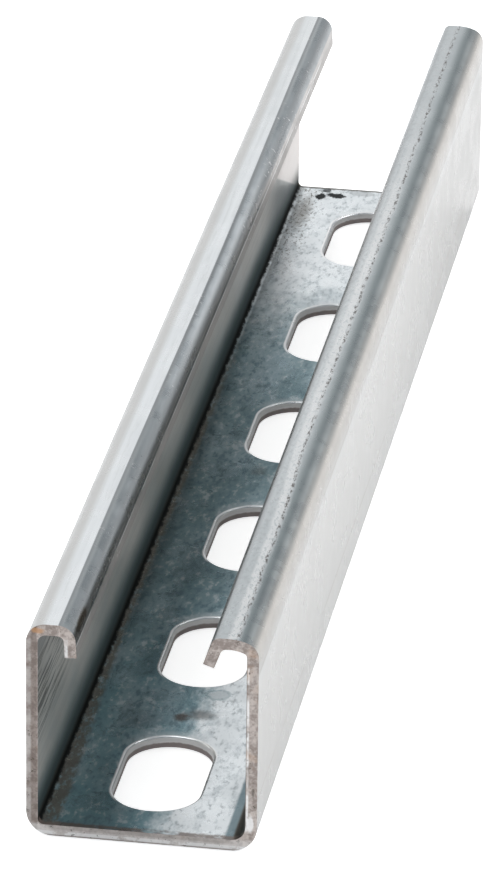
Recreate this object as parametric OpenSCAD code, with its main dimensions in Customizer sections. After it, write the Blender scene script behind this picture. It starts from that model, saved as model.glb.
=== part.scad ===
// Slotted strut channel: one strip of galvanised steel, roll formed into a square section with
// inturned lips, its web punched with a row of round-ended slots.
// Lies on its web. X runs across, Y along the length and Z up. The origin is on the floor at the middle.

/* [Section] */
// Width over the two walls
channel_w = 41.3; // [36:0.1:60]
// Height from the underside of the web to the top of the lips
channel_h = 41.3; // [30:0.1:80]
// Thickness of the steel strip
sheet_t = 2.1; // [1.5:0.05:2.8]
// Outside radius of the bends between web and walls
web_bend_r = 4.6; // [3.5:0.1:6]
// Inside radius of the left one of these bends, which the rolls pressed sharper than the right
left_inside_r = 1; // [0.4:0.1:2.5]
// Inside radius of the right one
right_inside_r = 2.5; // [1:0.1:3.5]

/* [Left lip] */
// Outside radius of the bend from the left wall to its lip
left_bend_r = 3.6; // [3:0.1:4.5]
// Distance from the left wall's outer face to the corner where the lip turns down
left_lip_w = 8.7; // [7:0.1:11]
// Outside radius of that corner
left_corner_r = 3.2; // [1:0.1:3.5]
// Height of the lip, from its top down to its free edge
left_lip_h = 6.1; // [4:0.1:9]
// Angle by which the lip leans in from upright
left_lean = 3; // [0:1:25]

/* [Right lip] */
// Outside radius of the bend from the right wall to the shoulder
right_bend_r = 3; // [2.8:0.1:4]
// Slope of the rounded shoulder between that bend and the flat top of the lip
right_shoulder_slope = 22; // [0:1:25]
// Distance from the right wall's outer face to the corner where the lip turns down
right_lip_w = 8; // [7.6:0.1:11]
// Outside radius of that corner
right_corner_r = 1.6; // [1:0.1:2]
// Height of the lip, from its top down to its free edge
right_lip_h = 5.2; // [4:0.1:9]
// Angle by which the lip leans in from upright
right_lean = 20; // [0:1:25]

/* [Length and slots] */
// Length of the piece
channel_l = 304.8; // [295:0.1:600]
// Distance from one slot's centre to the next
slot_pitch = 50.8; // [40:0.1:52]
// Distance from the near cut end to the first slot's centre
first_slot = 23.5; // [18:0.1:26]
// Width of a slot between its straight sides
slot_w = 15.8; // [10:0.1:17]
// Length of a slot over its round ends
slot_l = 29.4; // [20:0.1:34]
// Radius that the punch rolled onto each slot's upper edge
slot_rim_r = 0.5; // [0.1:0.05:1]

/* [Hidden] */
$fn = 96;
near_end_y = -channel_l / 2;
slot_straight_l = slot_l - slot_w;
// Least length of web left between the last slot and the far cut end
least_end = 2;
// As many whole slots as the length has room for
slot_count = floor((channel_l - first_slot - slot_l / 2 - least_end) / slot_pitch) + 1;
left_shoulder_slope = 0;
// Radius of the shoulder, and the least inside radius of a lip's corner
shoulder_r = 9;
least_inside_r = 1.2;
// Centre of the outside arc between web and wall
web_bend_centre = [channel_w / 2 - web_bend_r, web_bend_r];
// Steps in a bend's arc
bend_steps = 20;
// How far a cutting shape runs past the face that it cuts
past = 1;
galvanised = [0.66, 0.68, 0.70];

// Points along an arc, from one angle to another
function arc(centre, radius, from_angle, to_angle) =
    [for (i = [0 : bend_steps])
        let (angle = from_angle + (to_angle - from_angle) * i / bend_steps)
        centre + radius * [cos(angle), sin(angle)]];

// Centre of the inside arc between web and wall
function web_inside_centre(radius) =
    [channel_w / 2 - sheet_t - radius, sheet_t + radius];

// Centre of the bend at the top of a wall, where it is followed by a shoulder of this slope
function bend_centre(bend_r, slope) =
    [channel_w / 2 - bend_r, channel_h - shoulder_r + (shoulder_r - bend_r) * cos(slope)];

function shoulder_centre(bend_r, slope) =
    [channel_w / 2 - bend_r - (shoulder_r - bend_r) * sin(slope), channel_h - shoulder_r];

// Arc of the shoulder, in the order that the angles are given
function shoulder(bend_r, slope, face_r, from_angle, to_angle) =
    slope > 0 ? arc(shoulder_centre(bend_r, slope), face_r, from_angle, to_angle) : [];

// Centre of an arc that joins a level face, this far below the top, to a face of the leaning lip
function corner_centre(lip_w, lean, depth, radius) =
    [channel_w / 2 - lip_w + (depth + radius) * tan(45 - lean / 2), channel_h - depth - radius];

// Free edge of the lip on its outer face
function lip_edge(lip_w, lip_h, lean) =
    [channel_w / 2 - lip_w - lip_h * tan(lean), channel_h - lip_h];

// Outline of the section's right half: out along the outer face to the lip, and back inside
function half_outline(web_inside_r, bend_r, slope, lip_w, corner_r, lip_h, lean) =
    let (inside_r = max(corner_r - sheet_t, least_inside_r), edge = lip_edge(lip_w, lip_h, lean))
    concat(
        arc(web_bend_centre, web_bend_r, -90, 0),
        arc(bend_centre(bend_r, slope), bend_r, 0, 90 - slope),
        shoulder(bend_r, slope, shoulder_r, 90 - slope, 90),
        arc(corner_centre(lip_w, lean, 0, corner_r), corner_r, 90, 180 - lean),
        [edge, edge + sheet_t * [cos(lean), -sin(lean)]],
        arc(corner_centre(lip_w, lean, sheet_t, inside_r), inside_r, 180 - lean, 90),
        shoulder(bend_r, slope, shoulder_r - sheet_t, 90, 90 - slope),
        arc(bend_centre(bend_r, slope), bend_r - sheet_t, 90 - slope, 0),
        arc(web_inside_centre(web_inside_r), web_inside_r, 0, -90)
    );

// The same path on the other side, walked the other way
function mirrored(path) =
    [for (i = [len(path) - 1 : -1 : 0]) [-path[i].x, path[i].y]];

// The rolled strip's whole section, seen from the near end
module channel_section() {
    right = half_outline(
        right_inside_r, right_bend_r, right_shoulder_slope,
        right_lip_w, right_corner_r, right_lip_h, right_lean
    );
    left = half_outline(
        left_inside_r, left_bend_r, left_shoulder_slope,
        left_lip_w, left_corner_r, left_lip_h, left_lean
    );
    polygon(concat(right, mirrored(left)));
}

// Half of a slot's section: an upright side with the rolled rim at its top
module slot_half_section() {
    side = slot_w / 2;
    translate([0, -past])
        square([side, sheet_t + 2 * past]);
    difference() {
        translate([side, sheet_t - slot_rim_r])
            square([slot_rim_r, slot_rim_r + past]);
        translate([side + slot_rim_r, sheet_t - slot_rim_r])
            circle(slot_rim_r);
    }
}

// One slot, as the shape that the punch takes away, centred on the origin and running along Y
module slot() {
    for (end = [-1, 1])
        translate([0, end * slot_straight_l / 2, 0])
            rotate_extrude()
                slot_half_section();
    translate([0, slot_straight_l / 2, 0])
        rotate([90, 0, 0])
            linear_extrude(slot_straight_l) {
                slot_half_section();
                mirror([1, 0])
                    slot_half_section();
            }
}

module strut_channel() {
    color(galvanised)
        difference() {
            translate([0, channel_l / 2, 0])
                rotate([90, 0, 0])
                    linear_extrude(channel_l)
                        channel_section();
            for (i = [0 : slot_count - 1])
                translate([0, near_end_y + first_slot + i * slot_pitch, 0])
                    slot();
        }
}

strut_channel();
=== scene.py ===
"""Looks of a slotted strut channel: a rolled strip of galvanised steel that lies on its web."""
import math
import bmesh
import bpy
from mathutils import Matrix, Vector


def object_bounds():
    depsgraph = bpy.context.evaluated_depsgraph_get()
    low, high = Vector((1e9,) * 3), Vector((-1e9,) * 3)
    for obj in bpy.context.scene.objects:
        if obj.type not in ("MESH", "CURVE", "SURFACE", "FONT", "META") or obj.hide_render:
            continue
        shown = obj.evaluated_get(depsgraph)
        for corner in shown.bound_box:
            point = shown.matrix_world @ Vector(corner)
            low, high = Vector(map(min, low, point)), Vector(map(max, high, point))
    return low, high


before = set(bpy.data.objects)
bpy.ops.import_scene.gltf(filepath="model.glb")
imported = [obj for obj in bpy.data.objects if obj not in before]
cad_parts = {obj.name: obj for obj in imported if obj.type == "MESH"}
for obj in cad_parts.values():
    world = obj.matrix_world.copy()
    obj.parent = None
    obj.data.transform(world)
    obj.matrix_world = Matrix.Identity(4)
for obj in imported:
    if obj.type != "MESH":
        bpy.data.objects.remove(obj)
cad_low, cad_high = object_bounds()
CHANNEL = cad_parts["strut_channel"]

# Millimetre, in metres
MM = 0.001

# The channel's sizes in millimetres, as model.glb has them
WIDTH = (cad_high.x - cad_low.x) / MM
LENGTH = (cad_high.y - cad_low.y) / MM

# Sizes in millimetres that the finish follows
SHEET = 2.1
SLOT_WIDE, SLOT_LONG = 15.8, 29.4
SLOT_PITCH, FIRST_SLOT = 50.8, 23.5
HALF_WIDE = WIDTH / 2
HALF_LONG = LENGTH / 2
NEAR_CUT = -HALF_LONG
WALL_INSIDE = HALF_WIDE - SHEET

# Height from which a face belongs to a lip, and where the finishes change across, in millimetres
LIP_LEVEL = 34
CORNER_SHADE_EDGE = -17.8
LEFT_CREASE = -14.8
RIGHT_RIDGE = 16.0

# Roughness of the metal where it is smoothest and roughest, and its bump on most faces and on the outer wall
SMOOTHEST, ROUGHEST = 0.24, 0.34
BUMP, BUMP_ON_WALL = 0.06, 0.01
BUMP_DEPTH = 0.1 * MM

# Corners nearer than this are one corner
TOUCHING = 0.001 * MM

# Room, floor and lamps: linear light, and sizes in metres
WHITE = (1, 1, 1, 1)
DIM_ROOM = (0.3, 0.32, 0.34, 1)
PAPER = (0.85, 0.85, 0.85, 1)
FLOOR_GLOW_SEEN, FLOOR_GLOW_MIRRORED = 0.68, 0.1
FLOOR_REACH = 3
FLOOR_DROP = 0.2 * MM
LAMP_AIM = (0, 0, 0.02)

# Turn between two faces, in degrees, that makes the edge between them a sharp one
SHARP_TURN = 15

# Camera: the photograph's frame in pixels, and the place in metres and angles in degrees that fit it
PHOTO_WIDE, PHOTO_HIGH = 502, 870
FOCAL_PIXELS = 7110
CAMERA_PLACE = (0.1886, -1.2534, 0.5793)
CAMERA_YAW, CAMERA_DOWN, CAMERA_ROLL = 8.77, 24.12, -0.71


def colour(red, green, blue):
    """A colour as an artist writes it, 0 to 255, turned into the linear light that a shader takes."""
    parts = [part / 255 for part in (red, green, blue)]
    linear = [part / 12.92 if part <= 0.04045 else ((part + 0.055) / 1.055) ** 2.4 for part in parts]
    return (*linear, 1)


# Colours of the metal
PALE_ZINC = colour(226, 230, 232)
ROLLED_ZINC = colour(210, 214, 216)
CLEAN_ZINC = colour(214, 213, 211)
FROSTED_ZINC = colour(234, 239, 242)
FROST_SHADE = colour(202, 209, 213)
TOP_ZINC = colour(172, 179, 182)
DULL_ZINC = colour(150, 172, 180)
CLOUDED_ZINC = colour(114, 141, 148)
TEAL_ZINC = colour(110, 146, 156)
DEEP_ZINC = colour(86, 114, 124)
DARK_ZINC = colour(58, 72, 74)
GREY_ZINC = colour(150, 155, 158)
CREASE_ZINC = colour(136, 141, 144)
SLOPE_ZINC = colour(190, 196, 198)
SLOPE_MIDDLE = colour(226, 231, 233)
SLOPE_NEAR = colour(174, 180, 182)
FACE_ZINC = colour(184, 180, 177)
SHOULDER_ZINC = colour(143, 153, 155)
SHOULDER_LIGHT = colour(200, 205, 204)
SHOULDER_EDGE = colour(176, 176, 173)
WARM_SHOULDER = colour(190, 185, 179)
OUTER_BEND = colour(190, 190, 189)
FAR_WALL = colour(196, 195, 193)
STRIPE_HIGHLIGHT = colour(234, 238, 242)
WALL_ZINC = colour(214, 211, 205)
WALL_SHADE = colour(152, 162, 162)
FAR_SHADE = colour(132, 136, 136)
WARM_ZINC_LINE = colour(176, 168, 160)
FAR_WALL_REFLECTION = colour(222, 216, 213)
SAWN_STEEL = colour(200, 191, 186)
SAWN_SHADE = colour(154, 144, 139)
SHEARED_STEEL = colour(170, 160, 158)
EDGE_DIRT = colour(116, 104, 98)
STRIP_DIRT = colour(90, 86, 77)
BURR_AND_HIGHLIGHT = colour(246, 246, 246)
GRIME_AND_SHADE = colour(74, 69, 60)
SPECK = colour(180, 177, 166)
SOOT_AND_CORNER_SHADE = colour(8, 10, 11)
RUST = colour(196, 152, 112)
OIL_STAIN = colour(70, 56, 32)
SMUDGE = colour(72, 66, 62)

# Stretch of the web's mottling, whose grains are longer along the channel
GRAIN = (1, 2.2, 1)

# Single marks on the metal: place and reach to each side in millimetres, softness, strength and colour
MARKS = [
    ((-0.6, -106, SHEET), (2.1, 2.4, 1), 0.7, 0.9, SMUDGE),
    ((2.6, -104.5, SHEET), (4.0, 3.0, 1), 0.8, 0.6, SMUDGE),
    ((4.5, -95.8, SHEET), (2.7, 2.4, 1), 0.15, 0.5, CLOUDED_ZINC),
    ((4.5, -95.8, SHEET), (2.2, 1.8, 1), 0.3, 0.7, FROST_SHADE),
    ((1.6, -147.6, SHEET), (2.6, 2.0, 1), 0.7, 0.3, DULL_ZINC),
    ((-3.6, 3.8, SHEET), (2.2, 3.0, 1), 0.8, 0.35, OIL_STAIN),
    ((-13.0, 147.2, SHEET), (1.3, 2.0, 1), 0.3, 0.95, SOOT_AND_CORNER_SHADE),
    ((-9.8, 148.2, SHEET), (2.3, 1.5, 1), 0.3, 0.95, SOOT_AND_CORNER_SHADE),
    ((-12.2, 150.8, SHEET), (1.1, 1.3, 1), 0.4, 0.8, SOOT_AND_CORNER_SHADE),
    ((-4.2, 150.2, SHEET), (3.0, 1.6, 1), 0.3, 0.45, GREY_ZINC),
    ((-15.6, 138, 2.1), (2.8, 15, 1), 0.9, 0.7, GRIME_AND_SHADE),
    ((-12.1, -145.5, 39.1), (0.9, 7.5, 1.4), 0.5, 0.9, OIL_STAIN),
    ((-18.6, NEAR_CUT, 40.0), (1.6, 1.0, 0.8), 0.6, 0.7, RUST),
    ((19.4, NEAR_CUT, 5.6), (0.8, 1.0, 2.0), 0.4, 0.8, BURR_AND_HIGHLIGHT),
    ((19.9, NEAR_CUT, 11.8), (0.4, 1.0, 1.1), 0.6, 0.6, GRIME_AND_SHADE),
]


class Finish:
    """Builds one material. A value is a number or another node's output, and places are in millimetres."""

    def __init__(self, name):
        self.material = bpy.data.materials.new(name)
        self.material.use_nodes = True
        self.nodes = self.material.node_tree.nodes
        self.links = self.material.node_tree.links
        self.shader = self.nodes["Principled BSDF"]
        coords = self.node("ShaderNodeTexCoord")
        scaled = self.node("ShaderNodeVectorMath", coords.outputs["Object"], operation="SCALE")
        scaled.inputs["Scale"].default_value = 1 / MM
        self.place = scaled.outputs[0]
        self.x, self.y, self.z = self.node("ShaderNodeSeparateXYZ", self.place).outputs
        facing = self.node("ShaderNodeNewGeometry").outputs["Normal"]
        self.right, self.ahead, self.up = self.node("ShaderNodeSeparateXYZ", facing).outputs
        self.find_regions()

    def node(self, kind, *values, **settings):
        node = self.nodes.new(kind)
        for name, value in settings.items():
            setattr(node, name, value)
        for socket, value in zip(node.inputs, values):
            self.feed(socket, value)
        return node

    def feed(self, socket, value):
        if isinstance(value, bpy.types.NodeSocket):
            self.links.new(value, socket)
        else:
            socket.default_value = value

    def calc(self, operation, first, second=0.0):
        return self.node("ShaderNodeMath", first, second, operation=operation).outputs[0]

    def times(self, *values):
        product = values[0]
        for value in values[1:]:
            product = self.calc("MULTIPLY", product, value)
        return product

    def rise(self, value, start, end, low=0.0, high=1.0):
        """Goes smoothly from low to high while the value goes from start to end."""
        limits = (start, end, low, high)
        return self.node("ShaderNodeMapRange", value, *limits, interpolation_type="SMOOTHSTEP").outputs[0]

    def fall(self, value, start, end):
        return self.rise(value, start, end, 1.0, 0.0)

    def band(self, value, start, end, soft):
        """1 between start and end, with edges that are soft over that many units."""
        entering = self.rise(value, start - soft / 2, start + soft / 2)
        leaving = self.fall(value, end - soft / 2, end + soft / 2)
        return self.times(entering, leaving)

    def noise(self, size, detail=3, roughness=0.6, stretch=(1, 1, 1), shift=(0, 0, 0)):
        """Cloudy noise from 0 to 1 whose grains are about size millimetres across, times stretch."""
        scale = tuple(1 / (size * part) for part in stretch)
        spot = self.node("ShaderNodeVectorMath", self.place, scale, shift, operation="MULTIPLY_ADD")
        cloud = self.node("ShaderNodeTexNoise", noise_dimensions="3D")
        self.links.new(spot.outputs[0], cloud.inputs["Vector"])
        cloud.inputs["Scale"].default_value = 1
        cloud.inputs["Detail"].default_value = detail
        cloud.inputs["Roughness"].default_value = roughness
        return cloud.outputs["Fac"]

    def find_regions(self):
        """Masks, 0 to 1, for the regions that more than one finish needs."""
        signed = (self.x, self.y, self.ahead, self.up)
        across, along, facing_along, level = (self.calc("ABSOLUTE", value) for value in signed)
        self.inside = self.times(
            self.fall(across, WALL_INSIDE + 0.1, WALL_INSIDE + 0.2),
            self.rise(self.z, SHEET - 0.2, SHEET),
        )
        wall_height = self.band(self.z, 2.3, 37.5, 1)
        self.wall_inside = self.times(self.fall(level, 0.5, 0.85), wall_height, self.inside)
        low = self.fall(self.z, SHEET + 2.5, SHEET + 4)
        self.inside_low = self.times(self.inside, self.rise(self.up, 0.05, 0.3), low)
        steps = self.times(self.calc("SUBTRACT", self.y, FIRST_SLOT + NEAR_CUT), 1 / SLOT_PITCH)
        self.past_middle = self.times(self.calc("SUBTRACT", steps, self.calc("ROUND", steps)), SLOT_PITCH)
        from_middle = self.calc("ABSOLUTE", self.past_middle)
        past_straight = self.calc("SUBTRACT", from_middle, (SLOT_LONG - SLOT_WIDE) / 2)
        past_straight = self.calc("MAXIMUM", past_straight, 0.0)
        squares = self.calc("ADD", self.times(self.x, self.x), self.times(past_straight, past_straight))
        self.from_slot = self.calc("SUBTRACT", self.calc("SQRT", squares), SLOT_WIDE / 2)
        last = self.rise(along, HALF_LONG - 0.2, HALF_LONG - 0.1)
        self.at_ends = self.times(self.rise(facing_along, 0.9, 0.97), last)
        self.in_slot = self.times(
            self.fall(across, SLOT_WIDE / 2 + 0.1, SLOT_WIDE / 2 + 0.3),
            self.fall(level, 0.45, 0.8),
            self.fall(self.z, SHEET - 0.05, SHEET),
            self.fall(along, HALF_LONG - 0.3, HALF_LONG - 0.2),
        )

    def paint(self, mask, under, over):
        mix = self.node("ShaderNodeMix", data_type="RGBA", clamp_factor=True)
        self.feed(mix.inputs[0], mask)
        self.feed(mix.inputs[6], under)
        self.feed(mix.inputs[7], over)
        return mix.outputs[2]

    def spot(self, place, reach, soft, wander=None):
        """A round or oval patch, reach millimetres to each side of its place."""
        away = [self.times(self.calc("SUBTRACT", part, middle), 1 / half)
                for part, middle, half in zip((self.x, self.y, self.z), place, reach)]
        squares = [self.times(part, part) for part in away]
        total = self.calc("SQRT", self.calc("ADD", self.calc("ADD", squares[0], squares[1]), squares[2]))
        if wander is not None:
            total = self.calc("ADD", total, wander)
        return self.fall(total, 1 - soft, 1)


# In each finish below, f is the Finish that is being built, and metal is its colour so far

def web_finish(f, metal):
    """Web inside: clouded blue grey, clean and frosty along the right and at the far end, with painted shade
    along the right inner bend.
    """
    clouds = f.noise(9, detail=3, roughness=0.55, stretch=GRAIN)
    blotches = f.noise(2.6, detail=4, roughness=0.6, stretch=GRAIN, shift=(2, 8, 4))
    frost = f.noise(1.0, detail=3, roughness=0.65, stretch=GRAIN, shift=(1, 1, 7))
    patchy = f.calc("ADD", f.times(0.5, blotches), f.times(0.5, frost))
    blue = f.paint(f.rise(f.y, -120, -30), TEAL_ZINC, CLOUDED_ZINC)
    sheet = f.paint(f.rise(clouds, 0.35, 0.68), blue, DULL_ZINC)
    sheet = f.paint(f.times(0.75, f.fall(patchy, 0.38, 0.5)), sheet, DEEP_ZINC)
    sheet = f.paint(f.times(0.4, f.rise(patchy, 0.52, 0.64)), sheet, PALE_ZINC)
    frosty = f.paint(f.times(0.9, f.fall(patchy, 0.38, 0.54)), FROSTED_ZINC, FROST_SHADE)
    frosty = f.paint(f.times(0.5, f.fall(frost, 0.3, 0.44)), frosty, GREY_ZINC)
    wander = f.times(9.0, f.calc("SUBTRACT", blotches, 0.5))
    clean_right = f.rise(f.calc("ADD", f.x, wander), -0.5, 6.0)
    clean_far = f.rise(f.calc("ADD", f.y, f.times(3.0, wander)), 60, 108)
    sheet = f.paint(f.times(0.92, f.calc("MAXIMUM", clean_right, clean_far)), sheet, frosty)
    left_dark = f.times(f.fall(f.x, -17.5, -13), f.band(f.y, -70, 35, 50))
    sheet = f.paint(f.times(0.5, left_dark), sheet, DARK_ZINC)
    # Painted shade along the right inner bend: a deep band, darkest in the bend itself
    right_bend = f.times(f.rise(f.x, 14.5, 15.1), f.fall(f.z, 6, 10))
    sheet = f.paint(f.times(0.85, right_bend), sheet, DEEP_ZINC)
    sheet = f.paint(f.times(0.9, f.rise(f.x, 16.0, 16.5), right_bend), sheet, GRIME_AND_SHADE)
    return f.paint(f.inside_low, metal, sheet)


def web_ends(f, metal):
    """Web's two ends: brown dirt along the near cut edge and a dark line along the far one."""
    ragged = f.times(1.6, f.calc("SUBTRACT", f.noise(1.2, detail=4, roughness=0.7), 0.5))
    along = f.calc("ADD", f.y, ragged)
    near = f.times(f.fall(along, -151.5, -150.6), f.rise(f.noise(3, detail=3, shift=(6, 6, 1)), 0.3, 0.5))
    metal = f.paint(f.times(0.85, near, f.inside_low), metal, EDGE_DIRT)
    far = f.times(f.rise(along, 151.2, 151.8), f.fall(f.x, -2, 3))
    return f.paint(f.times(0.85, far, f.inside_low), metal, GRIME_AND_SHADE)


def wall_finish(f, metal):
    """Walls inside: warm and dull, with painted shade and a painted shadow towards the web, a painted
    reflection where the far part is seen past the web's end with painted shade below it, and drag lines
    under the left lip's near end.
    """
    streaks = f.noise(0.9, detail=3, roughness=0.6, stretch=(1, 60, 1), shift=(3, 0, 5))
    wall = f.paint(f.rise(f.z, 7, 13), WALL_SHADE, WALL_ZINC)
    wall = f.paint(f.times(0.15, f.fall(streaks, 0.38, 0.52)), wall, GREY_ZINC)
    # Painted reflection: the walls are paler where they are seen past the web's far end, with painted shade
    # below that line towards the far end
    past_web = f.rise(f.calc("ADD", f.y, f.times(2.2, f.z)), 156.0, 157.6)
    wall = f.paint(f.times(0.9, past_web), wall, FAR_WALL_REFLECTION)
    wall = f.paint(f.times(0.9, f.rise(f.y, 100, 130), f.calc("SUBTRACT", 1.0, past_web)), wall, FAR_SHADE)
    shadow = f.fall(f.calc("ADD", f.z, f.rise(f.y, 90, 150, 0.0, 2.5)), 5, 11.5)
    f.shaded = f.times(shadow, f.wall_inside, f.fall(f.x, -17, -15))
    wall = f.paint(f.times(0.95, shadow), wall, DARK_ZINC)
    fine = f.noise(0.5, detail=3, roughness=0.65, stretch=(1, 45, 1))
    drag = f.times(f.rise(fine, 0.5, 0.56), f.band(f.z, 18, 37, 5), f.fall(f.y, -138, -116))
    wall = f.paint(f.times(0.8, drag), wall, GRIME_AND_SHADE)
    return f.paint(f.wall_inside, metal, wall)


def bend_shade_and_dirt(f, metal):
    """Painted shade and dirt along the left inner bend: black painted shade in the bend, then a brown strip
    of dirt with pale specks on the web.
    """
    ragged = f.times(1.4, f.calc("SUBTRACT", f.noise(1.3, detail=4, roughness=0.7, stretch=GRAIN), 0.5))
    across = f.calc("ADD", f.x, ragged)
    edge = f.calc("SUBTRACT", across, f.rise(f.y, -150, -60, 1.4, -0.5))
    low = f.times(f.fall(f.z, 2.6, 5), f.inside)
    broken = f.noise(2.2, detail=4, roughness=0.7, stretch=GRAIN, shift=(9, 2, 6))
    fading = f.times(f.rise(f.y, 20, 100, 0.9, 0.3), f.rise(broken, 0.36, 0.52, 0.45, 1.0))
    f.dirty = f.times(f.fall(edge, CORNER_SHADE_EDGE + 0.6, CORNER_SHADE_EDGE + 2.0), low, fading)
    metal = f.paint(f.dirty, metal, STRIP_DIRT)
    far_reach = f.times(f.rise(f.y, 95, 125), f.fall(across, -15, -10.5))
    flecks = f.noise(0.7, detail=3, roughness=0.7, stretch=GRAIN, shift=(7, 3, 2))
    flecks = f.rise(flecks, 0.54, 0.6)
    metal = f.paint(f.times(0.75, far_reach, flecks, low), metal, GRIME_AND_SHADE)
    # Painted shade: black in the left inner bend, which also hides the bend's highlight
    f.sooty = f.times(f.fall(across, CORNER_SHADE_EDGE - 0.5, CORNER_SHADE_EDGE), low)
    metal = f.paint(f.times(0.98, f.sooty), metal, SOOT_AND_CORNER_SHADE)
    specks = f.rise(f.noise(0.5, detail=4, roughness=0.8, stretch=(1, 1.6, 1), shift=(4, 4, 4)), 0.56, 0.66)
    gathered = f.rise(f.noise(5, detail=2, shift=(3, 3, 3)), 0.4, 0.62, 0.2, 1.0)
    beside_soot = f.band(across, CORNER_SHADE_EDGE - 0.2, CORNER_SHADE_EDGE + 1.2, 0.5)
    return f.paint(f.times(0.7, specks, gathered, beside_soot, low), metal, SPECK)


def left_lip_finish(f, metal):
    """Left lip: white on top with a painted highlight stripe, painted shading on the slope past a sharp
    crease, and a painted shadow and a painted highlight along the face that turns down.
    """
    on_top = f.rise(f.z, LIP_LEVEL, LIP_LEVEL + 1)
    outer_bend = f.times(f.fall(f.x, -18.3, -16.9), f.rise(f.z, 33, 36))
    metal = f.paint(f.times(0.85, outer_bend), metal, OUTER_BEND)
    streaked_highlight = f.rise(f.noise(1.0, detail=4, roughness=0.65, stretch=(1, 12, 1), shift=(2, 9, 1)), 0.34, 0.5)
    # Painted highlight: a bright stripe along the lip's flat top, broken into streaks and fading towards the
    # far end
    stripe = f.band(f.x, LEFT_CREASE - 2.3, LEFT_CREASE + 0.4, 0.8)
    bright = f.times(stripe, on_top, streaked_highlight, f.rise(f.y, 60, 140, 0.35, 0.1))
    metal = f.paint(bright, metal, STRIPE_HIGHLIGHT)
    bow = f.times(0.45, f.rise(f.y, -100, 10), f.fall(f.y, 20, 130))
    past_crease = f.calc("SUBTRACT", f.x, bow)
    # Painted shading on the slope: darker just past the crease, grey further on, and lighter or darker along
    # the lip
    slope = f.times(f.rise(past_crease, LEFT_CREASE - 0.2, LEFT_CREASE), f.fall(f.x, -8, -5), on_top)
    slope_tone = f.paint(f.rise(f.y, -70, -20), SLOPE_NEAR, SLOPE_MIDDLE)
    slope_tone = f.paint(f.rise(f.y, 40, 100), slope_tone, SLOPE_ZINC)
    dull = f.paint(f.rise(past_crease, LEFT_CREASE + 0.1, LEFT_CREASE + 0.9), CREASE_ZINC, slope_tone)
    dull = f.paint(f.rise(past_crease, LEFT_CREASE + 1.2, LEFT_CREASE + 2.2), dull, GREY_ZINC)
    metal = f.paint(slope, metal, dull)
    face = f.times(f.band(f.x, -13, -9, 0.3), f.rise(f.right, 0.8, 0.95), f.band(f.z, 34, 38.7, 0.3))
    metal = f.paint(face, metal, FACE_ZINC)
    # Painted shadow: a dark band along the top of the face that turns down, under the lip's edge
    metal = f.paint(f.times(f.band(f.z, 37.7, 38.5, 0.4), face, f.fall(f.y, 0, 90), 0.85), metal, DARK_ZINC)
    # Painted highlight: a thin bright line along the face, below the painted shadow, broken along the lip
    edge_highlight = f.times(face, f.rise(f.noise(24, detail=2), 0.42, 0.5), f.band(f.z, 37.2, 37.5, 0.15))
    metal = f.paint(f.times(0.9, edge_highlight), metal, BURR_AND_HIGHLIGHT)
    nicked = f.times(slope, f.rise(f.noise(26, detail=1), 0.5, 0.6))
    nicks = f.rise(f.noise(0.8, detail=1, roughness=0.4, shift=(6, 2, 9)), 0.68, 0.72)
    return f.paint(f.times(0.8, nicks, nicked), metal, BURR_AND_HIGHLIGHT)


def right_lip_finish(f, metal):
    """Right lip: grained silver with a painted highlight up to a ridge that is chipped and flecked, then
    painted shading on the shoulder and a painted reflection on the side that faces the channel.
    """
    top = f.times(f.rise(f.x, 9, 10), f.rise(f.z, LIP_LEVEL, LIP_LEVEL + 1))
    metal = f.paint(f.times(0.8, top, f.rise(f.calc("ABSOLUTE", f.y), 40, 130, 0.6, 1.0)), metal, TOP_ZINC)
    grain = f.noise(0.7, detail=4, roughness=0.75, stretch=GRAIN, shift=(5, 1, 8))
    metal = f.paint(f.times(0.35, f.rise(grain, 0.46, 0.6), top), metal, GREY_ZINC)
    wavy = f.calc("ADD", f.x, f.times(1.1, f.calc("SUBTRACT", f.noise(7, detail=4, roughness=0.7), 0.5)))
    bend_out = f.calc("ADD", f.rise(f.y, -105, -65, 0.9, 0.0), f.rise(f.y, 60, 130, -0.15, -0.6))
    wavy = f.calc("SUBTRACT", wavy, bend_out)
    # Painted highlight: a bright band up to the ridge, fading towards the far end
    ridge = f.times(f.band(wavy, RIGHT_RIDGE - 1.6, RIGHT_RIDGE, 0.8), top, f.rise(f.y, 20, 120, 0.45, 0.1))
    metal = f.paint(f.times(ridge, f.rise(grain, 0.4, 0.5)), metal, BURR_AND_HIGHLIGHT)
    # Painted shading across the shoulder's curl: dark, then light, then pale towards its edge
    shoulder = f.times(f.rise(wavy, RIGHT_RIDGE + 0.2, RIGHT_RIDGE + 0.7), f.rise(f.z, 32, 37))
    dull = f.paint(f.rise(f.x, 16.2, 17.6), TOP_ZINC, SHOULDER_ZINC)
    dull = f.paint(f.rise(f.x, 17.9, 19.0), dull, SHOULDER_LIGHT)
    dull = f.paint(f.rise(f.x, 18.9, 19.6), dull, SHOULDER_EDGE)
    dull = f.paint(f.rise(f.x, 19.6, 20.3), dull, WARM_SHOULDER)
    metal = f.paint(f.times(0.9, shoulder), metal, dull)
    chips = f.rise(f.noise(0.7, detail=4, roughness=0.8, stretch=(0.8, 2.6, 1), shift=(8, 1, 1)), 0.5, 0.56)
    on_ridge = f.band(wavy, RIGHT_RIDGE - 0.3, RIGHT_RIDGE + 0.3, 0.3)
    metal = f.paint(f.times(0.85, on_ridge, chips, top), metal, SMUDGE)
    # Painted reflection: the side of the curl that faces the channel is greyer
    inner_side_reflection = f.times(f.fall(f.right, -0.45, -0.05), top)
    return f.paint(f.times(0.6, inner_side_reflection), metal, GREY_ZINC)


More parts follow.
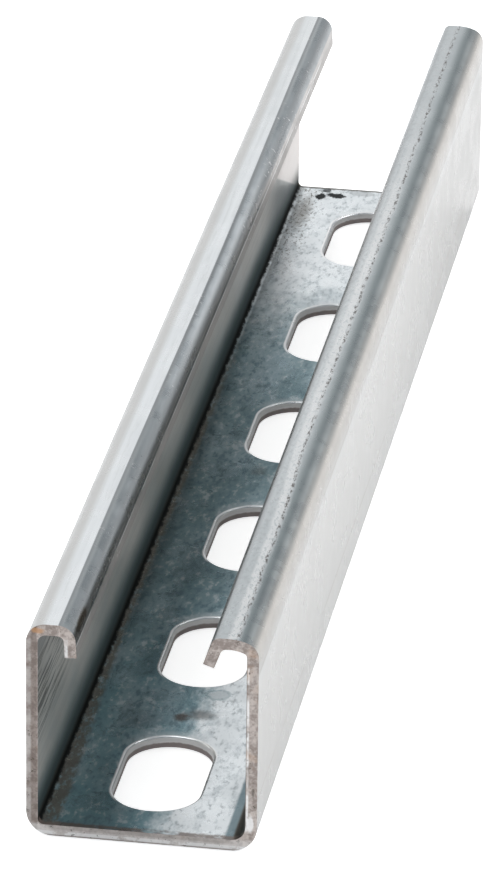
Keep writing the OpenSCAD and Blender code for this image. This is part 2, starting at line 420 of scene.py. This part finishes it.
def outer_wall(f, metal):
    """Right wall's outer face: even and pale, with thin lines that the forming rolls left along it."""
    outside = f.times(f.rise(f.x, HALF_WIDE - 0.4, HALF_WIDE - 0.1), f.rise(f.right, 0.9, 0.98))
    plain = f.paint(f.rise(f.y, -10, 150), CLEAN_ZINC, FAR_WALL)
    metal = f.paint(f.times(outside, f.fall(f.z, 31, 38.5)), metal, plain)
    thin = f.calc("MAXIMUM", f.band(f.z, 34.4, 35.0, 0.4), f.band(f.z, 10.0, 10.4, 0.3))
    faded = f.rise(f.noise(14, detail=3, stretch=(1, 2, 1)), 0.35, 0.55)
    return f.paint(f.times(0.4, thin, faded, outside), metal, WARM_ZINC_LINE)


def sawn_ends(f, metal):
    """Cut ends: brown grey steel, a pale burr along one side of each wall and the floor, and dark pits."""
    fine = f.noise(1.1, detail=4, roughness=0.7)
    sawn = f.paint(f.rise(fine, 0.36, 0.62), SAWN_STEEL, SAWN_SHADE)
    left_burr = f.fall(f.x, -HALF_WIDE + 0.6, -HALF_WIDE + 1.1)
    right_burr = f.times(f.band(f.x, 17, WALL_INSIDE + 0.5, 0.3), f.band(f.z, 4, 36, 1))
    lip_burr = f.times(f.band(f.x, -14.6, -13.2, 0.3), f.band(f.z, 34, 38.6, 0.5))
    floor_burr = f.band(f.z, 0.25, 0.95, 0.3)
    worn = f.rise(f.noise(4, detail=4, shift=(9, 9, 9)), 0.34, 0.56)
    burr = f.calc("MAXIMUM", f.times(0.35, left_burr), f.calc("MAXIMUM", right_burr, lip_burr))
    sawn = f.paint(f.times(0.6, f.fall(f.x, -18.9, -18.5)), sawn, EDGE_DIRT)
    sawn = f.paint(f.times(0.35, f.fall(f.z, 1.8, 2.6)), sawn, BURR_AND_HIGHLIGHT)
    sawn = f.paint(f.times(0.9, burr, worn), sawn, BURR_AND_HIGHLIGHT)
    sawn = f.paint(f.times(0.8, floor_burr, f.rise(worn, 0.0, 0.5)), sawn, BURR_AND_HIGHLIGHT)
    web_dirt = f.times(f.band(f.z, 1.3, 3, 0.3), f.fall(f.calc("ABSOLUTE", f.x), 15, 18))
    sawn = f.paint(f.times(0.3, web_dirt), sawn, EDGE_DIRT)
    under = f.times(f.fall(f.z, 0.15, 0.35), f.rise(f.noise(5, detail=3, shift=(1, 8, 3)), 0.4, 0.5))
    sawn = f.paint(f.times(0.5, under), sawn, EDGE_DIRT)
    rim = f.times(f.band(f.x, WALL_INSIDE - 0.3, WALL_INSIDE + 0.12, 0.1), f.band(f.z, 5, 36, 1))
    sawn = f.paint(f.times(0.7, rim), sawn, EDGE_DIRT)
    rust = f.rise(f.noise(6, detail=3, shift=(3, 1, 4)), 0.58, 0.75)
    sawn = f.paint(f.times(0.35, rust), sawn, RUST)
    pits = f.rise(f.noise(1.3, detail=4, roughness=0.8, shift=(5, 9, 2)), 0.6, 0.66)
    sawn = f.paint(f.times(0.75, pits), sawn, GRIME_AND_SHADE)
    return f.paint(f.at_ends, metal, sawn)


def punched_slots(f, metal):
    """Slots: a painted highlight on the rolled rim's far and left sides and on the web beyond the far rim,
    walls burnished above by the punch and torn and dark below.
    """
    torn = f.calc("ADD", f.z, f.times(0.4, f.calc("SUBTRACT", f.noise(1.2, detail=3), 0.5)))
    side = f.paint(f.rise(torn, 0.8, 1.1), SHEARED_STEEL, BURR_AND_HIGHLIGHT)
    metal = f.paint(f.in_slot, metal, side)
    # Painted highlight on the rolled rim, on its far and left sides only
    side_seen = f.calc("MAXIMUM", f.rise(f.past_middle, 4, 10), f.fall(f.x, -7.5, -6))
    rim = f.times(f.band(f.from_slot, 0.02, 0.7, 0.3), f.inside_low, side_seen)
    metal = f.paint(f.times(0.9, rim), metal, BURR_AND_HIGHLIGHT)
    # Soft painted highlight on the web beyond each slot's far rim
    far_halo_highlight = f.times(f.fall(f.from_slot, 0.5, 3.2), f.inside_low, f.rise(f.past_middle, 9, 14))
    return f.paint(f.times(0.35, far_halo_highlight, f.rise(f.from_slot, 0, 0.5)), metal, PALE_ZINC)


def marks(f, metal):
    """Single marks: stains and smudges where the photograph has them."""
    wander = f.times(0.9, f.calc("SUBTRACT", f.noise(1.4, detail=4, roughness=0.7, shift=(2, 2, 2)), 0.5))
    for place, reach, soft, strength, tint in MARKS:
        black = tint == SOOT_AND_CORNER_SHADE
        patch = f.spot(place, reach, soft, f.times(2, wander) if black else wander)
        if black:
            f.sooty = f.calc("MAXIMUM", f.sooty, f.times(strength, patch))
        metal = f.paint(f.times(strength, patch), metal, tint)
    return metal


def galvanised_steel():
    f = Finish("galvanised_steel")
    long_streaks = f.noise(1.1, detail=3, roughness=0.6, stretch=(1, 40, 1), shift=(3, 0, 5))
    metal = f.paint(f.rise(long_streaks, 0.2, 0.8), ROLLED_ZINC, PALE_ZINC)
    finishes = (web_finish, wall_finish, bend_shade_and_dirt, web_ends, left_lip_finish, right_lip_finish,
                outer_wall, sawn_ends, punched_slots, marks)
    for finish in finishes:
        metal = finish(f, metal)
    f.feed(f.shader.inputs["Base Color"], metal)
    dull = f.calc("MAXIMUM", f.times(0.9, f.in_slot), f.times(0.25, f.wall_inside))
    # Besides dirt, this mask holds the painted shade in the left bend and the painted shadow on the left
    # wall, made dull and rough so that they stay dark
    dirt = f.calc("MAXIMUM", f.calc("MAXIMUM", f.sooty, f.dirty), f.times(0.85, f.shaded))
    dull = f.calc("MAXIMUM", dull, dirt)
    dull = f.calc("MAXIMUM", dull, f.times(0.7, f.at_ends, f.fall(f.z, 1.0, 1.6)))
    f.feed(f.shader.inputs["Metallic"], f.calc("SUBTRACT", 1.0, dull))
    f.shader.inputs["Specular IOR Level"].default_value = 0.1

    grains = f.noise(1.4, detail=3, roughness=0.7, shift=(7, 3, 1))
    rough = f.rise(f.noise(8, detail=3, shift=(1, 5, 1)), 0.3, 0.7, SMOOTHEST, ROUGHEST)
    rough = f.calc("ADD", rough, f.times(0.22, f.calc("MAXIMUM", f.at_ends, f.in_slot)))
    rough = f.calc("ADD", rough, f.times(0.08, f.wall_inside))
    rough = f.calc("ADD", rough, f.times(0.5, dirt))
    f.feed(f.shader.inputs["Roughness"], rough)
    bump = f.node("ShaderNodeBump")
    f.feed(bump.inputs["Strength"], f.rise(f.right, 0.9, 0.98, BUMP, BUMP_ON_WALL))
    bump.inputs["Distance"].default_value = BUMP_DEPTH
    f.feed(bump.inputs["Height"], f.calc("ADD", f.times(0.6, grains), f.times(0.25, long_streaks)))
    f.links.new(bump.outputs[0], f.shader.inputs["Normal"])
    return f.material


def make_camera():
    data = bpy.data.cameras.new("camera")
    data.sensor_width = 36
    data.lens = FOCAL_PIXELS * data.sensor_width / max(PHOTO_WIDE, PHOTO_HIGH)
    data.clip_start, data.clip_end = 0.05, 20
    camera = bpy.data.objects.new("camera", data)
    bpy.context.scene.collection.objects.link(camera)
    turn = (
        Matrix.Rotation(math.radians(CAMERA_YAW), 4, "Z")
        @ Matrix.Rotation(math.radians(90 - CAMERA_DOWN), 4, "X")
        @ Matrix.Rotation(math.radians(-CAMERA_ROLL), 4, "Z")
    )
    camera.matrix_world = Matrix.Translation(CAMERA_PLACE) @ turn
    bpy.context.scene.camera = camera


def soft_lamp(name, place, aim, wide, high, power):
    data = bpy.data.lights.new(name, "AREA")
    data.shape = "RECTANGLE"
    data.size, data.size_y = wide, high
    data.energy = power
    lamp = bpy.data.objects.new(name, data)
    bpy.context.scene.collection.objects.link(lamp)
    lamp.location = place
    away = Vector(place) - Vector(aim)
    lamp.rotation_euler = away.to_track_quat("Z", "Y").to_euler()


def make_lights():
    soft_lamp("key_lamp", (0.9, 0.5, 1.1), LAMP_AIM, 0.9, 0.9, 14)
    soft_lamp("top_lamp", (-0.5, 0.2, 1.4), LAMP_AIM, 0.8, 0.8, 8)


def make_world():
    """A white room, dimmer overhead and on the right, so that the metal's bends have something to mirror."""
    world = bpy.data.worlds.new("studio")
    bpy.context.scene.world = world
    world.use_nodes = True
    nodes, links = world.node_tree.nodes, world.node_tree.links
    nodes.clear()
    coords = nodes.new("ShaderNodeTexCoord")
    split = nodes.new("ShaderNodeSeparateXYZ")
    links.new(coords.outputs["Generated"], split.inputs[0])

    def dimmer(value, start, end):
        ranged = nodes.new("ShaderNodeMapRange")
        ranged.interpolation_type = "SMOOTHSTEP"
        links.new(value, ranged.inputs[0])
        ranged.inputs[1].default_value, ranged.inputs[2].default_value = start, end
        return ranged.outputs[0]

    def joined(operation, first, second):
        node = nodes.new("ShaderNodeMath")
        node.operation = operation
        links.new(first, node.inputs[0])
        links.new(second, node.inputs[1])
        return node.outputs[0]

    overhead = dimmer(split.outputs["Z"], 0.5, 0.8)
    above_floor = dimmer(split.outputs["Z"], 0.0, 0.35)
    right = joined("MULTIPLY", dimmer(split.outputs["X"], 0.0, 0.15), above_floor)
    room = nodes.new("ShaderNodeMix")
    room.data_type = "RGBA"
    links.new(joined("MAXIMUM", overhead, right), room.inputs[0])
    room.inputs[6].default_value = WHITE
    room.inputs[7].default_value = DIM_ROOM
    seen = nodes.new("ShaderNodeMix")
    seen.data_type = "RGBA"
    rays = nodes.new("ShaderNodeLightPath")
    links.new(rays.outputs["Is Camera Ray"], seen.inputs[0])
    links.new(room.outputs[2], seen.inputs[6])
    seen.inputs[7].default_value = WHITE
    back = nodes.new("ShaderNodeBackground")
    links.new(seen.outputs[2], back.inputs["Color"])
    out = nodes.new("ShaderNodeOutputWorld")
    links.new(back.outputs[0], out.inputs[0])


def make_floor():
    mesh = bpy.data.meshes.new("floor")
    sheet = bmesh.new()
    lowered = Matrix.Translation((0, 0, -FLOOR_DROP))
    bmesh.ops.create_grid(sheet, x_segments=1, y_segments=1, size=FLOOR_REACH, matrix=lowered)
    sheet.to_mesh(mesh)
    sheet.free()
    floor = bpy.data.objects.new("floor", mesh)
    bpy.context.scene.collection.objects.link(floor)
    material = bpy.data.materials.new("white_sweep")
    material.use_nodes = True
    nodes, links = material.node_tree.nodes, material.node_tree.links
    nodes.clear()
    out = nodes.new("ShaderNodeOutputMaterial")
    paper = nodes.new("ShaderNodeBsdfDiffuse")
    paper.inputs["Color"].default_value = PAPER
    glow = nodes.new("ShaderNodeEmission")
    add = nodes.new("ShaderNodeAddShader")
    rays = nodes.new("ShaderNodeLightPath")
    seen = nodes.new("ShaderNodeMath")
    seen.operation = "MULTIPLY"
    seen.inputs[1].default_value = FLOOR_GLOW_SEEN
    links.new(rays.outputs["Is Camera Ray"], seen.inputs[0])
    mirrored = nodes.new("ShaderNodeMath")
    mirrored.operation = "MULTIPLY_ADD"
    mirrored.inputs[1].default_value = FLOOR_GLOW_MIRRORED
    links.new(rays.outputs["Is Glossy Ray"], mirrored.inputs[0])
    links.new(seen.outputs[0], mirrored.inputs[2])
    links.new(mirrored.outputs[0], glow.inputs["Strength"])
    links.new(paper.outputs[0], add.inputs[0])
    links.new(glow.outputs[0], add.inputs[1])
    links.new(add.outputs[0], out.inputs[0])
    floor.data.materials.append(material)


def finish_channel():
    for face in CHANNEL.data.polygons:
        face.use_smooth = True
    weld = CHANNEL.modifiers.new("weld", "WELD")
    weld.merge_threshold = TOUCHING
    split = CHANNEL.modifiers.new("sharp_edges", "EDGE_SPLIT")
    split.split_angle = math.radians(SHARP_TURN)
    CHANNEL.data.materials.clear()
    CHANNEL.data.materials.append(galvanised_steel())


scene = bpy.context.scene
scene.view_settings.view_transform = "Standard"
make_camera()
make_lights()
make_world()
make_floor()
finish_channel()
